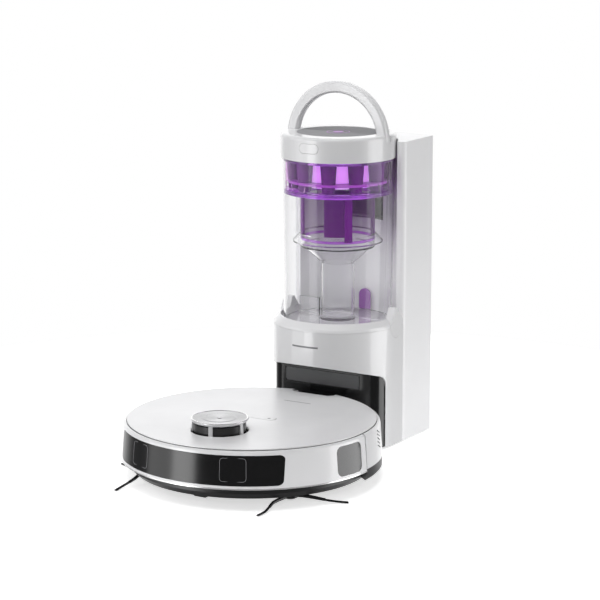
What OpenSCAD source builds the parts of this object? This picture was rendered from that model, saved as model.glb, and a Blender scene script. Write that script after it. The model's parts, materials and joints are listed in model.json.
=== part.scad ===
// Robot vacuum docked in its bagless self-emptying station.
// Z is up, the floor is z = 0, the robot's front faces -Y, and lengths are in millimetres.

/* [Robot] */
// Diameter of the robot at the foot of its bumper
robot_d = 350; // [346:1:352]
// Height of the robot's flat top cover above the floor
cover_top = 80.2; // [79.8:0.1:81]
// Height of the laser turret's top above the floor
turret_top = 97; // [95.5:0.5:100]
// Gap between the chassis floor and the ground
ground_gap = 13; // [12:0.5:14]
// Distance from a side brush's centre to the tip of an arm
side_brush_r = 75; // [70:1:78]
// Radius of a drive wheel
wheel_r = 34; // [33:0.5:34.5]

/* [Station] */
// Outer radius of the rounded housing that carries the dust bin
housing_r = 90.4; // [89.5:0.1:91.5]
// Height of the tower behind the dust bin
tower_h = 425.5; // [420:0.5:430]
// Wall thickness of the moulded covers
wall = 2.6; // [2.2:0.1:3]

/* [Dust bin] */
// Outer radius of the dust bin's lid
lid_r = 80.4; // [79.5:0.1:81]
// Number of small cyclones in the ring under the lid
cyclones = 10; // [8:1:12]
// Outer radius of the perforated filter cylinder
mesh_r = 51.6; // [50:0.1:52]

/* [Hidden] */
$fn = 64;
eps = 0.01;
fit = 0.05;
robot_y = -81;
robot_r = robot_d / 2;
bin_y = 143;
tower_front = 169;
tower_back_y = 256;
tower_half_w = 90.5;
recess_r = 83;
// Robot heights, from the floor up
tray_top = 71;
deck_z = 72;
cover_t = 1.6;
cover_low = cover_top - cover_t;
rim_top = cover_low - 0.3;
bumper_low = 29;
rear_low = 32;
tray_r = 165;
skirt_r = 173.5;
cover_r = 166;
// The bumper ends and the rear shell starts at these angles from the robot's heading
bumper_end = 91;
rear_start = 92;
// Side shells: where the drafted wall ends below the rim, and the rim's inner edge
shell_head_r = 171.2;
shell_rim_in = 166.8;
shell_rim_h = 5;
window_low = 34;
window_top = 72.9;
window_angle = 46.3;
window_r = 172.8;
front_window_w = 2 * window_r * sin(window_angle);
side_window_angle = 79.5;
side_window_w = 47;
window_gap = 0.2;
sensor_angles = [-42, 42, -115, 115];
robot_screw_pos = [[-60, -125], [60, -125], [-60, 132], [60, 132], [-50, 60], [50, 60]];
turret_y = -78;
cap_r = 38.5;
brush_hub = [112, -85];
// Drive wheels and their swinging arms, in the robot's own frame
wheel_x = 119;
wheel_w = 20;
wheel_y = 17;
arm_pivot = [64, 40];
well_x = [82, 132];
well_y = [-28, 80];
main_brush_pos = [-5, 22];
main_brush_r = 19;
main_brush_half = 76;
chamber_half = 79;
caster_y = -128;
caster_r = 14;
caster_trail = 7;
dust_box_x = [-76, 60];
dust_box_y = [40, 134];
fan_pos = [88, 108];
port_half_w = 22;
port_z = [26, 56];
// Station heights
seat_z = 168;
ring_z = 170;
bin_low = 170;
lid_low = 403;
lid_top = 437;
insert_y = 101;
insert_corner_r = 26;
leg_y = 124.5;
bay_slope = 0.283;
bay_front_z = 123.4;
bay_front_y = 52;
bay_fillet = 14;
motor_pos = [0, 182];
handle_z = 427;
handle_r = 80;
handle_in = 63.5;
handle_depth = 13;
inlet_z = [306, 338];
// Radius of the clear bin wall at its foot and at the lid
wall_r_low = 75.6;
wall_r_high = 79.4;
// Seat of the dust bin in the housing, and the back walls of both air ducts
seat_r = 87.8;
duct_front = 231;
duct_back = 250;

white = [0.93, 0.93, 0.94];
pearl = [0.86, 0.86, 0.87];
black = [0.06, 0.06, 0.07];
grey = [0.25, 0.25, 0.27];
steel = [0.75, 0.76, 0.78];
purple = [0.45, 0.12, 0.68];
clear = [0.85, 0.9, 0.95, 0.4];
gold = [0.83, 0.65, 0.25];
green = [0.1, 0.4, 0.2];

// ---- helpers ----

// Centred rounded rectangle
module rrect(w, h, r) {
    square([w - 2 * r, h], center = true);
    square([w, h - 2 * r], center = true);
    for (x = [-1, 1], y = [-1, 1])
        translate([x * (w / 2 - r), y * (h / 2 - r)]) circle(r);
}

// Box between two corners
module box(low, high) {
    translate(low) cube(high - low);
}

// Upright tube standing on z = low
module tube(r_out, r_in, low, high) {
    translate([0, 0, low]) difference() {
        cylinder(r = r_out, h = high - low, $fn = 180);
        translate([0, 0, -1]) cylinder(r = r_in, h = high - low + 2, $fn = 180);
    }
}

// Cylinder along X from x0 to x1 at (y, z)
module rod_x(r, x0, x1, y, z) {
    translate([x0, y, z]) rotate([0, 90, 0]) cylinder(r = r, h = x1 - x0);
}

// Wedge-shaped prism that covers the angles a0..a1 from the robot's heading
module wedge(a0, a1, low, high) {
    far = 400;
    step = (a1 - a0) / 4;
    translate([0, 0, low]) linear_extrude(high - low)
        polygon(concat([[0, 0]],
            [for (i = [0:4]) far * [sin(a0 + i * step), -cos(a0 + i * step)]]));
}

// Places children in the robot's own frame, centred on its axis
module at_robot() {
    translate([0, robot_y, 0]) children();
}

// Places children on the dust bin's axis
module at_bin() {
    translate([0, bin_y, 0]) children();
}

// Height of the housing's sloping underside at a given y
function bay_z(y) = bay_front_z - bay_slope * (y - bay_front_y);

// Side profile of the docking bay, shrunk by gap, as a prism right across the station
module bay(gap, half_w) {
    len = sqrt(1 + bay_slope * bay_slope);
    r = bay_fillet - gap;
    cy = leg_y - bay_fillet;
    cz = bay_z(cy) - bay_fillet * len;
    near = 30;
    translate([-half_w, 0, 0]) rotate([90, 0, 90]) linear_extrude(2 * half_w) {
        polygon([[near, -5], [cy + r, -5], [cy + r, cz],
            [cy + r * bay_slope / len, cz + r / len],
            [near, cz + r / len + bay_slope * (cy + r * bay_slope / len - near)]]);
        translate([cy, cz]) circle(r);
    }
}

// Flat bar between two points, w wide in plan and t thick
module strut(p, q, w, t) {
    d = q - p;
    flat = norm([d[0], d[1]]);
    translate(p) rotate([0, -atan2(d[2], flat), atan2(d[1], d[0])])
        translate([0, -w / 2, -t / 2]) cube([norm(d), w, t]);
}

// ---- station ----

module base_plate() {
    color(grey) difference() {
        translate([0, 178, 2]) linear_extrude(3) rrect(168, 146, 12);
        for (x = [-60, 60], y = [130, 226])
            translate([x, y, 0]) cylinder(r = 1.7, h = 10);
    }
}

module base_feet() {
    color(black) for (x = [-70, 70], y = [120, 236])
        translate([x, y, 0]) cylinder(r = 9, h = 2);
}

module tower_plan(inset) {
    back = tower_back_y - inset;
    front = tower_front + inset;
    difference() {
        translate([0, (front + back) / 2])
            rrect(2 * (tower_half_w - inset), back - front, 7 - inset);
        translate([0, bin_y]) circle(recess_r + inset, $fn = 180);
    }
}

module tower_shell() {
    hollow_w = tower_half_w - wall;
    color(white) difference() {
        union() {
            translate([0, 0, ring_z]) linear_extrude(tower_h - ring_z) tower_plan(0);
            translate([0, (tower_front + tower_back_y) / 2, 2.5])
                linear_extrude(ring_z - 2.5)
                rrect(2 * tower_half_w, tower_back_y - tower_front, 7);
        }
        translate([0, 0, ring_z - 1])
            linear_extrude(tower_h - ring_z + 1 - wall) tower_plan(wall);
        // Lower room, open to the housing in front and to the base below
        box([-hollow_w, tower_front - 1, 1], [hollow_w, tower_back_y - wall, ring_z - wall]);
        box([-hollow_w + 6, 229, ring_z - wall - 1], [hollow_w - 6, tower_back_y - wall, ring_z]);
        // Opening for the rear cover
        box([-78, tower_back_y - 4, 12], [78, tower_back_y + 1, 410]);
        // Room in the shelf for the latch and the suction duct
        box([-10.5, 217, 160], [10.5, 225, 172]);
        box([43, 215, 160], [79, 233, 172]);
        // Mouths of the two air ducts in the recess
        box([-36, 220, inlet_z[0] - 2], [36, 232, inlet_z[1] + 2]);
        box([-22, 220, 406], [22, 232, 420]);
    }
}

module tower_back() {
    color(white) difference() {
        box([-77.7, tower_back_y - wall, 12.3], [77.7, tower_back_y, 409.7]);
        box([24.7, 250, 24.7], [73.3, 260, 95.3]);
        box([-62.3, 250, 29.7], [-33.7, 260, 50.3]);
        for (x = [-70, 70], z = [20, 215, 402])
            translate([x, 250, z]) rotate([-90, 0, 0]) cylinder(r = 1.7, h = 10);
    }
}

module housing_plan(inset) {
    translate([0, bin_y]) circle(housing_r - inset, $fn = 180);
    translate([-(housing_r - inset), bin_y])
        square([2 * (housing_r - inset), tower_front - 0.3 - bin_y]);
}

module front_housing() {
    keep_z = seat_z - wall;
    color(white) difference() {
        translate([0, 0, 2.5]) linear_extrude(ring_z - 2.5) intersection() {
            housing_plan(0);
            translate([-100, 40]) square([200, tower_front - 0.3 - 40]);
        }
        bay(0, 100);
        // Hollow inside, above the sloping underside
        difference() {
            translate([0, 0, 1]) linear_extrude(keep_z - 1) intersection() {
                housing_plan(wall);
                translate([-100, 40]) square([200, tower_front + 1 - 40]);
            }
            bay(-wall, 100);
        }
        // Open behind the bay insert
        box([wall - housing_r, leg_y - 1, 1], [housing_r - wall, leg_y + wall + 1, 90]);
        // Seat for the dust bin and its opening at the back
        at_bin() translate([0, 0, seat_z]) cylinder(r = seat_r, h = 10, $fn = 180);
        box([-seat_r, bin_y, seat_z], [seat_r, tower_front + 1, ring_z + 1]);
        // Sockets that the collar's side lobes drop into
        for (s = [-1, 1]) lobe(s, 0.3);
    }
}

// Side lobe of the bin collar, grown by gap
module lobe(s, gap) {
    inner = seat_r - 0.2;
    r = 13;
    mid = [150, 168];
    at = s > 0 ? inner - gap : -housing_r - 1;
    translate([at, 0, 0]) rotate([90, 0, 90]) linear_extrude(housing_r + 1 - inner + gap) {
        translate(mid) circle(r + gap);
        polygon([[mid[0] - r - gap, mid[1]], [mid[0] + r + gap, mid[1]], [168 + gap, 178],
            [149, 178], [132 - gap, 172]]);
    }
}

module bin_collar() {
    in_r = wall_r_high;
    color(white) difference() {
        union() {
            at_bin() rotate_extrude($fn = 180)
                polygon([[in_r, seat_z + 0.2], [in_r, 181], [in_r + 0.8, 181.8],
                    [in_r + 3.2, 181.2], [housing_r - 1.8, 174.6], [housing_r - 0.1, 171.2],
                    [housing_r - 0.1, ring_z + 0.2], [seat_r - 0.3, ring_z + 0.2],
                    [seat_r - 0.3, seat_z + 0.2]]);
            for (s = [-1, 1]) {
                intersection() {
                    lobe(s, 0);
                    box([-housing_r, 100, 140], [housing_r, tower_front - 0.3, 200]);
                }
                // Fin that rises against the tower
                translate([s > 0 ? in_r : -housing_r, 0, 0]) rotate([90, 0, 90])
                    linear_extrude(housing_r - in_r)
                    polygon([[134, 172], [168.4, 170.4], [168.4, 178], [152, 196.6],
                        [147, 196.6]]);
            }
        }
        at_bin() translate([0, 0, 100]) cylinder(r = in_r, h = 150, $fn = 180);
        box([-100, tower_front - 0.3, 100], [100, 300, 250]);
    }
}

module bay_insert() {
    depth = 60;
    w = 174.4;
    skin = 3;
    color(black) difference() {
        intersection() {
            translate([0, insert_y + depth / 2, 5.3]) linear_extrude(110) difference() {
                rrect(w, depth, insert_corner_r);
                translate([0, skin / 2]) rrect(w - 2 * skin, depth - skin, insert_corner_r - skin);
            }
            bay(0.3, 100);
        }
        // Recessed panel above the robot
        box([-60, insert_y - 1, 86], [60, insert_y + 1.2, 106.4]);
        // Dust port and contact slots
        box([-port_half_w, insert_y - 1, port_z[0]], [port_half_w, insert_y + 6, port_z[1]]);
        for (x = [-45, 45]) box([x - 5.2, insert_y - 1, 17.8], [x + 5.2, insert_y + 6, 26.2]);
    }
}

module dock_seal() {
    color(grey) difference() {
        translate([0, insert_y - 4, 41]) rotate([-90, 0, 0]) linear_extrude(4) rrect(56, 42, 8);
        translate([0, insert_y - 5, 41]) rotate([-90, 0, 0]) linear_extrude(8) rrect(42, 28, 4);
    }
}

module charge_contacts() {
    color(gold) for (x = [-45, 45])
        box([x - 5, insert_y - 3, 18], [x + 5, insert_y + 5, 26]);
}

module intake_duct() {
    t = 2;
    x = port_half_w;
    color(grey) difference() {
        union() {
            box([-x, insert_y + 3.2, port_z[0]], [x, duct_back, port_z[1]]);
            box([-x, duct_front, port_z[0]], [x, duct_back, inlet_z[1] + 4]);
            box([-35.5, 226.4, inlet_z[0] - 1.5], [35.5, duct_back, inlet_z[1] + 1.5]);
        }
        box([-x + t, insert_y, port_z[0] + t], [x - t, duct_back - t, port_z[1] - t]);
        box([-x + t, duct_front + t, port_z[0] + t], [x - t, duct_back - t, inlet_z[1] - t]);
        box([-32, 220, inlet_z[0] + 1.5], [32, duct_back - t, inlet_z[1] - 1.5]);
    }
}

module suction_duct() {
    t = 2;
    low = 149;
    high = 419.5;
    fall_x = [44, 78];
    fall_y = 218.6;
    color(grey) difference() {
        union() {
            box([-21.5, 227.4, 406.5], [21.5, duct_back, high]);
            box([-21.5, duct_front, 398], [fall_x[1], duct_back, high]);
            box([fall_x[0], fall_y, low], [fall_x[1], duct_back, high]);
            box([-12, 158, low], [fall_x[1], 228, low + 12]);
        }
        box([-21.5 + t, 220, 408.5], [21.5 - t, duct_back - t, high - t]);
        box([-21.5 + t, duct_front + t, 400], [fall_x[1] - t, duct_back - t, high - t]);
        box([fall_x[0] + t, fall_y + t, low + t], [fall_x[1] - t, duct_back - t, high - t]);
        box([-12 + t, 158 + t, low + t], [fall_x[1] - t, 228 - t, low + 12 - t]);
        translate([motor_pos[0], motor_pos[1], 145]) cylinder(r = 9, h = 8);
    }
}

module suction_motor() {
    color(steel) translate([motor_pos[0], motor_pos[1], 0]) difference() {
        union() {
            translate([0, 0, 68]) cylinder(r = 27, h = 42);
            translate([0, 0, 110]) cylinder(r = 36, h = 38.8);
        }
        translate([0, 0, 113]) cylinder(r = 33.5, h = 33);
        translate([0, 0, 140]) cylinder(r = 9, h = 12);
        translate([0, 0, 90]) cylinder(r = 4 + fit, h = 30);
        box([20, -8, 116], [40, 8, 136]);
    }
}

// Centrifugal impeller: hub on a shaft, back plate and curved-back blades
module impeller(r, h, hub_r, shaft_r, shaft_len, blades) {
    translate([0, 0, -shaft_len]) cylinder(r = shaft_r, h = shaft_len + 1);
    cylinder(r = r, h = 1.6);
    cylinder(r = hub_r, h = h);
    for (i = [0:blades - 1]) rotate([0, 0, i * 360 / blades])
        translate([hub_r - 1, -0.6, 0]) rotate([0, 0, 22])
        cube([r - hub_r - 2, 1.2, h]);
}

module motor_impeller() {
    color(steel) translate([motor_pos[0], motor_pos[1], 115])
        impeller(31, 22, 8, 4, 20, 9);
}

module exhaust_filter() {
    color(white) difference() {
        box([25, 238, 25], [73, 250, 95]);
        for (i = [0:8]) box([28 + i * 5, 237, 28], [30.5 + i * 5, 247, 92]);
    }
}

module exhaust_grille() {
    color(grey) difference() {
        box([25, 251, 25], [73, 255.6, 95]);
        for (i = [0:8]) box([29, 250, 29.5 + i * 7], [69, 257, 33 + i * 7]);
    }
}

module power_board() {
    color(green) box([-80, 150, 100], [-42, 240, 101.6]);
    color(grey) {
        box([-76, 156, 101.6], [-56, 176, 118]);
        box([-74, 186, 101.6], [-50, 204, 122]);
        for (y = [214, 228]) translate([-66, y, 101.6]) cylinder(r = 5, h = 18);
        translate([-50, 222, 101.6]) cylinder(r = 5, h = 14);
    }
}

module power_inlet() {
    color(black) difference() {
        box([-62, 236, 30], [-34, 255.6, 50]);
        translate([-48, 244, 40]) rotate([-90, 0, 0]) linear_extrude(20) rrect(20, 12, 3);
    }
    color(steel) for (x = [-52, -44]) translate([x, 244 - eps, 40]) rotate([-90, 0, 0])
        cylinder(r = 1.4, h = 9);
}

// Pan-head screw, head downwards at z = 0
module screw(head_r, head_h, r, len) {
    difference() {
        cylinder(r = head_r, h = head_h);
        for (a = [0, 90]) rotate([0, 0, a])
            translate([-head_r * 0.6, -0.4, -eps]) cube([head_r * 1.2, 0.8, head_h * 0.5]);
    }
    cylinder(r = r, h = len);
}

module station_screws() {
    color(steel) {
        for (x = [-60, 60], y = [130, 226])
            translate([x, y, 0.4]) screw(3.2, 1.6, 1.6, 9);
        for (x = [-70, 70], z = [20, 215, 402])
            translate([x, tower_back_y, z]) rotate([90, 0, 0]) cylinder(r = 1.6, h = 5);
    }
}

// ---- dust bin ----

module bin_wall() {
    t = 2.4;
    color(clear) at_bin() difference() {
        rotate_extrude($fn = 180)
            polygon([[wall_r_low, bin_low + 4.4], [wall_r_high, lid_low - 0.2],
                [wall_r_high - t, lid_low - 0.2], [wall_r_low - t, bin_low + 4.4]]);
        // Air inlet at the back
        translate([0, 60, 322]) rotate([-90, 0, 0]) linear_extrude(30) rrect(60, 26, 5);
    }
}

module bin_floor() {
    color(clear) at_bin() {
        translate([0, 0, bin_low]) cylinder(r = 75.4, h = 4, $fn = 180);
        translate([0, 0, bin_low + 4]) cylinder(r = 24.7, h = 6);
        // Upright vane that stops the dust from swirling
        box([-62, -1.2, bin_low + 4], [-30, 1.2, 200]);
        // Hinge knuckle at the front
        translate([-12, -72, bin_low]) cube([24, 4, 4]);
    }
}

module floor_latch() {
    color(purple) translate([0, 219.6, 185.5]) rotate([-90, 0, 0])
        linear_extrude(3) rrect(18.5, 35, 9.2);
}

module cyclone_block() {
    pitch_r = 61;
    r_top = 12;
    r_low = 8.5;
    low = 353;
    high = lid_low - 0.2;
    // The head and foot plates follow the bin wall's taper with a sliding gap
    color(purple) at_bin() {
        difference() {
            translate([0, 0, high - 4]) cylinder(r = 76.4, h = 4, $fn = 180);
            for (i = [0:cyclones - 1]) rotate([0, 0, i * 360 / cyclones])
                translate([pitch_r, 0, high - 5]) cylinder(r = r_top - 1.6, h = 6);
            translate([0, 0, high - 5]) cylinder(r = 30, h = 6);
        }
        for (i = [0:cyclones - 1]) rotate([0, 0, i * 360 / cyclones])
            translate([pitch_r, 0, low + 4]) difference() {
                cylinder(r1 = r_low, r2 = r_top, h = high - low - 8);
                translate([0, 0, -1])
                    cylinder(r1 = r_low - 1.6, r2 = r_top - 1.6, h = high - low - 6);
            }
        difference() {
            translate([0, 0, low]) cylinder(r = 75.6, h = 5, $fn = 180);
            for (i = [0:cyclones - 1]) rotate([0, 0, i * 360 / cyclones])
                translate([pitch_r, 0, low - 1]) cylinder(r = r_low - 1.6, h = 7);
            translate([0, 0, low - 1]) cylinder(r = 46, h = 7);
        }
        tube(48, 46, low + 4, high - 3);
    }
}

module mesh_filter() {
    low = 287;
    high = 353;
    post_r = 19.6;
    rib_turn = -43.4;
    color(purple) at_bin() {
        tube(mesh_r, mesh_r - 1.6, low, high);
        tube(mesh_r - 1, 46, high - 3, high);
        // Post in the middle, held to the screen by a spoke at each rib
        tube(post_r, post_r - 1.6, low, high);
        for (i = [0:3]) rotate([0, 0, i * 90 + rib_turn]) {
            box([mesh_r - 4, -4, low], [mesh_r - 1, 4, high]);
            box([post_r - 0.8, -1.5, high - 4], [mesh_r - 3, 1.5, high]);
        }
    }
}

module cone_skirt() {
    in_r = 52.2;
    out_r = 62.6;
    lip_z = 284.6;
    color(clear) at_bin() rotate_extrude($fn = 180)
        polygon([[in_r, 297], [out_r, 286.5], [out_r, lip_z], [out_r - 1.2, lip_z], [in_r, 294.6]]);
}

module inner_cone() {
    t = 1.6;
    tube_r = 23.3;
    mouth_r = 51.4;
    mouth_z = 286.8;
    foot_z = bin_low + 10.2;
    color(clear) at_bin() rotate_extrude($fn = 180)
        polygon([[tube_r, foot_z], [tube_r, 254], [48, 277], [mouth_r, 277], [mouth_r, mouth_z],
            [mouth_r - t, mouth_z], [mouth_r - t, 278.8], [47.2, 278.8], [tube_r - t, 254.8],
            [tube_r - t, foot_z]]);
}

module bin_lid() {
    edge = 5;
    // Everything below is measured from the lid's lower face
    color(pearl) translate([0, bin_y, lid_low]) difference() {
        rotate_extrude($fn = 180) {
            square([lid_r - edge, lid_top - lid_low]);
            square([lid_r, lid_top - lid_low - edge]);
            translate([lid_r - edge, lid_top - lid_low - edge]) intersection() {
                circle(edge);
                square(edge);
            }
        }
        translate([0, 0, -1]) cylinder(r = 74, h = 21, $fn = 180);
        translate([0, 0, lid_top - lid_low - 0.8]) cylinder(r = 58, h = 2, $fn = 180);
        for (s = [-1, 1]) translate([s * 72, 0, handle_z - lid_low + 10])
            cube([20, handle_depth + 0.4, 20], center = true);
        translate([0, -70, 19]) rotate([90, 0, 0]) linear_extrude(20) rrect(30.8, 13.8, 6.8);
        translate([0, 70, 10]) rotate([-90, 0, 0]) linear_extrude(20) rrect(38, 9, 2);
    }
}

module lid_filter() {
    color(white) at_bin() difference() {
        translate([0, 0, lid_low + 2]) cylinder(r = 66, h = 17, $fn = 180);
        for (i = [0:10]) box([-60, -52 + i * 10, lid_low + 1], [60, -49 + i * 10, lid_low + 16]);
    }
}

module lid_button() {
    color(pearl) intersection() {
        translate([0, bin_y - 60, lid_low + 19]) rotate([90, 0, 0])
            linear_extrude(30) rrect(30, 13, 6.4);
        at_bin() tube(lid_r, 75.5, lid_low, lid_top);
    }
}

module bin_handle() {
    color(pearl) difference() {
        translate([0, bin_y, handle_z]) rotate([90, 0, 0]) rotate_extrude($fn = 120)
            translate([(handle_r + handle_in) / 2, 0])
            rrect(handle_r - handle_in, handle_depth, 4);
        translate([-100, bin_y - 20, handle_z - 100]) cube([200, 40, 100]);
    }
}

// ---- robot ----

// Profile of the side shells: a slightly drafted wall with a rounded rim, from low to the rim
module side_profile(low) {
    t = 2.2;
    foot_r = robot_r - (low > bumper_low ? 1 : 0);
    head_r = shell_head_r;
    polygon([[foot_r, low], [head_r, rim_top - shell_rim_h], [head_r - 0.7, rim_top - 2.2],
        [head_r - 2.2, rim_top - 0.5], [head_r - 3.6, rim_top], [shell_rim_in, rim_top],
        [shell_rim_in, rim_top - 1.8], [head_r - 3.4, rim_top - 2.4],
        [head_r - t, rim_top - shell_rim_h], [foot_r - t, low]]);
}

// Rounded window opening through the side, centred at an angle from the heading
module window_cut(angle, w, r, gap) {
    rotate([0, 0, angle]) translate([0, -100, (window_low + window_top) / 2]) rotate([90, 0, 0])
        linear_extrude(100) rrect(w + 2 * gap, window_top - window_low + 2 * gap, r + gap);
}

// Curved glass panel that fills a window in the bumper
module window_glass(angle, w, r) {
    t = 1.9;
    intersection() {
        rotate_extrude($fn = 180)
            polygon([[robot_r - t, bumper_low], [robot_r, bumper_low],
                [shell_head_r, rim_top - shell_rim_h], [shell_head_r - t, rim_top - shell_rim_h]]);
        window_cut(angle, w, r, 0);
    }
}

module bumper_shell() {
    color(white) at_robot() difference() {
        intersection() {
            rotate_extrude($fn = 180) side_profile(bumper_low);
            union() {
                wedge(-bumper_end, 0, 0, 100);
                wedge(0, bumper_end, 0, 100);
            }
        }
        window_cut(0, front_window_w, 6, window_gap);
        for (s = [-1, 1]) window_cut(s * side_window_angle, side_window_w, 8, window_gap);
    }
}

module front_window() {
    color(black) at_robot()
        window_glass(0, front_window_w, 6);
}

module side_windows() {
    color(grey) at_robot() for (s = [-1, 1])
        window_glass(s * side_window_angle, side_window_w, 8);
}

module rear_shell() {
    color(white) at_robot() difference() {
        intersection() {
            rotate_extrude($fn = 180) side_profile(rear_low);
            union() {
                wedge(rear_start, 180, 0, 100);
                wedge(180, 360 - rear_start, 0, 100);
            }
        }
        // Slanted vent slots on both sides
        for (s = [-1, 1], i = [0:4])
            rotate([0, 0, s * 108.5]) translate([0, -160, 50 + i * 5])
            rotate([0, s * 24, 0]) box([-9, -30, -0.9], [9, 0, 0.9]);
        // Dust port at the back
        box([-24, 150, 20], [24, 180, 60]);
        // Finger notch under the cover
        box([-30, 160, 71], [30, 180, 90]);
    }
}

// Opening through the chassis floor, as [x0, x1, y0, y1], for one drive wheel
module wheel_well(s, gap, low, high) {
    a = s > 0 ? well_x[0] - gap : -well_x[1] - gap;
    b = s > 0 ? well_x[1] + gap : -well_x[0] + gap;
    box([a, well_y[0] - gap, low], [b, well_y[1] + gap, high]);
}

module chassis() {
    chamber_r = 23.5;
    floor_t = 3;
    color(black) at_robot() difference() {
        union() {
            rotate_extrude($fn = 180)
                polygon([[0, ground_gap], [157, ground_gap], [tray_r, ground_gap + 8],
                    [tray_r, tray_top], [tray_r - 2.5, tray_top],
                    [tray_r - 2.5, ground_gap + 9], [156, ground_gap + floor_t],
                    [0, ground_gap + floor_t]]);
            // Skirt that fills out to the rear shell
            intersection() {
                rotate_extrude($fn = 180)
                    polygon([[tray_r - 1, ground_gap + 7], [skirt_r - 3, ground_gap + 3],
                        [skirt_r, ground_gap + 6], [skirt_r, rear_low - 0.4],
                        [tray_r - 1, rear_low - 0.4]]);
                union() {
                    wedge(rear_start, 180, 0, 100);
                    wedge(180, 360 - rear_start, 0, 100);
                }
            }
            for (s = [-1, 1]) {
                wheel_well(s, 2, ground_gap, tray_top);
                translate([s * brush_hub[0], brush_hub[1], ground_gap])
                    cylinder(r = 17, h = 13);
            }
            rod_x(chamber_r + 2.5, -chamber_half - 2, chamber_half + 2,
                main_brush_pos[0], main_brush_pos[1]);
            translate([0, caster_y, ground_gap]) cylinder(r = 26, h = 33);
        }
        box([-200, -200, -20], [200, 200, ground_gap]);
        for (s = [-1, 1]) {
            wheel_well(s, 0, 0, tray_top - 1.6);
            // Pivot bores for the wheel arm
            rod_x(3 + fit, s > 0 ? 79 : -135, s > 0 ? 135 : -79, arm_pivot[0], arm_pivot[1]);
            translate([s * brush_hub[0], brush_hub[1], 0]) cylinder(r = 14, h = 23);
            translate([s * brush_hub[0], brush_hub[1], 0]) cylinder(r = 3 + fit, h = 60);
        }
        rod_x(chamber_r, -chamber_half, chamber_half, main_brush_pos[0], main_brush_pos[1]);
        box([-chamber_half, main_brush_pos[0] - 21, 0],
            [chamber_half, main_brush_pos[0] + 21, main_brush_pos[1]]);
        rod_x(3 + fit, -81.9, 81.9, main_brush_pos[0], main_brush_pos[1]);
        // Suction throat from the brush chamber towards the dust box
        box([-30, 10, 28], [30, 30, 40]);
        // Caster pocket and its stem bore
        translate([0, caster_y, 0]) cylinder(r = 23.5, h = 31);
        translate([0, caster_y, 0]) cylinder(r = 4 + fit, h = 44);
        // Dust port at the back, sensor windows, screw holes and charging pads
        box([-22, 150, port_z[0] - 2], [22, 180, port_z[1] + 2]);
        for (a = sensor_angles)
            rotate([0, 0, a]) translate([0, -150, 0]) cylinder(r = 4.2, h = 30);
        for (p = robot_screw_pos) translate([p[0], p[1], 0]) cylinder(r = 1.7, h = 30);
        for (x = [-45, 45]) box([x - 6.2, 155, 17.8], [x + 6.2, 180, 26.2]);
    }
}

module mid_deck() {
    color(grey) at_robot() difference() {
        union() {
            translate([0, 0, deck_z]) cylinder(r = 163.6, h = 2, $fn = 180);
            tube(158, 150, deck_z, cover_low - 0.1);
        }
        translate([0, turret_y, 0]) cylinder(r = 37.5, h = 100);
        box([dust_box_x[0] - 1, dust_box_y[0] - 1, 60], [dust_box_x[1] + 1, dust_box_y[1] + 1, 90]);
        // Finger recess at the back
        box([-30, 149, deck_z + 1], [30, 170, 90]);
        for (a = [0:60:300]) rotate([0, 0, a + 30])
            translate([0, -146, 60]) cylinder(r = 1.7, h = 20);
    }
}

module top_cover() {
    color(pearl) at_robot() {
        difference() {
            translate([0, 0, cover_low]) cylinder(r = cover_r, h = cover_t, $fn = 180);
            translate([0, turret_y, 0]) cylinder(r = 40.6, h = 100, $fn = 120);
            // Notch for a fingertip at the back
            translate([0, 0, 60]) linear_extrude(40)
                polygon([[-27, 151], [27, 151], [33, 157], [33, 180], [-33, 180], [-33, 157]]);
            translate([0, 3, cover_top - 1.0]) linear_extrude(3) rrect(69, 15, 7.4);
            translate([0, 3, 60]) linear_extrude(40) rrect(40, 8, 3.9);
        }
        // Pegs that sit just above the deck
        for (a = [0, 90, 180, 270]) rotate([0, 0, a + 45])
            translate([0, -140, deck_z + 2.1]) cylinder(r = 4, h = cover_low - deck_z - 2);
    }
}

module control_button() {
    color(pearl) at_robot() {
        translate([0, 3, cover_top - 0.2]) linear_extrude(0.4) rrect(68, 14, 6.9);
        translate([0, 3, cover_low - 2]) linear_extrude(2 + cover_t) rrect(39.2, 7.2, 3.5);
    }
}

module turret_base() {
    color(black) at_robot() translate([0, turret_y, 0]) {
        difference() {
            union() {
                translate([0, 0, 70.5]) cylinder(r = 34.6, h = 3);
                translate([0, 0, 62]) cylinder(r = 9, h = 11.5);
                tube(34.6, 32.8, 73.5, 90.4);
                tube(40, 33, 74.1, 76);
            }
            translate([0, 0, 60]) cylinder(r = 4 + fit, h = 20);
        }
    }
}

module lidar_rotor() {
    color(grey) at_robot() translate([0, turret_y, 0]) difference() {
        union() {
            translate([0, 0, 63]) cylinder(r = 4, h = 12);
            translate([0, 0, 74.5]) cylinder(r = 29, h = 3);
            intersection() {
                translate([0, 0, 77]) cylinder(r = 28, h = 12);
                box([-28, -15, 70], [28, 15, 90]);
            }
        }
        for (x = [-12, 12]) translate([x, -16, 83]) rotate([-90, 0, 0]) cylinder(r = 4.5, h = 8);
    }
}

module turret_cap() {
    color(steel) at_robot() translate([0, turret_y, 0]) {
        rotate_extrude($fn = 120)
            polygon([[0, 92], [37.4, 92], [cap_r, 93.2], [cap_r, 96], [cap_r - 1, turret_top],
                [cap_r - 3, turret_top], [cap_r - 4, turret_top - 0.5], [0, turret_top - 0.5]]);
        for (i = [0:4]) rotate([0, 0, i * 72 + 14])
            intersection() {
                tube(36.9, 34.9, 79, 93);
                box([-2.5, -45, 70], [2.5, 0, 100]);
            }
    }
}

module battery() {
    color(grey) at_robot() {
        box([-56, -100, 17], [56, -42, 44]);
        for (x = [-28, 28]) box([x - 0.5, -100.4, 17.5], [x + 0.5, -41.6, 43.5]);
    }
}

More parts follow.
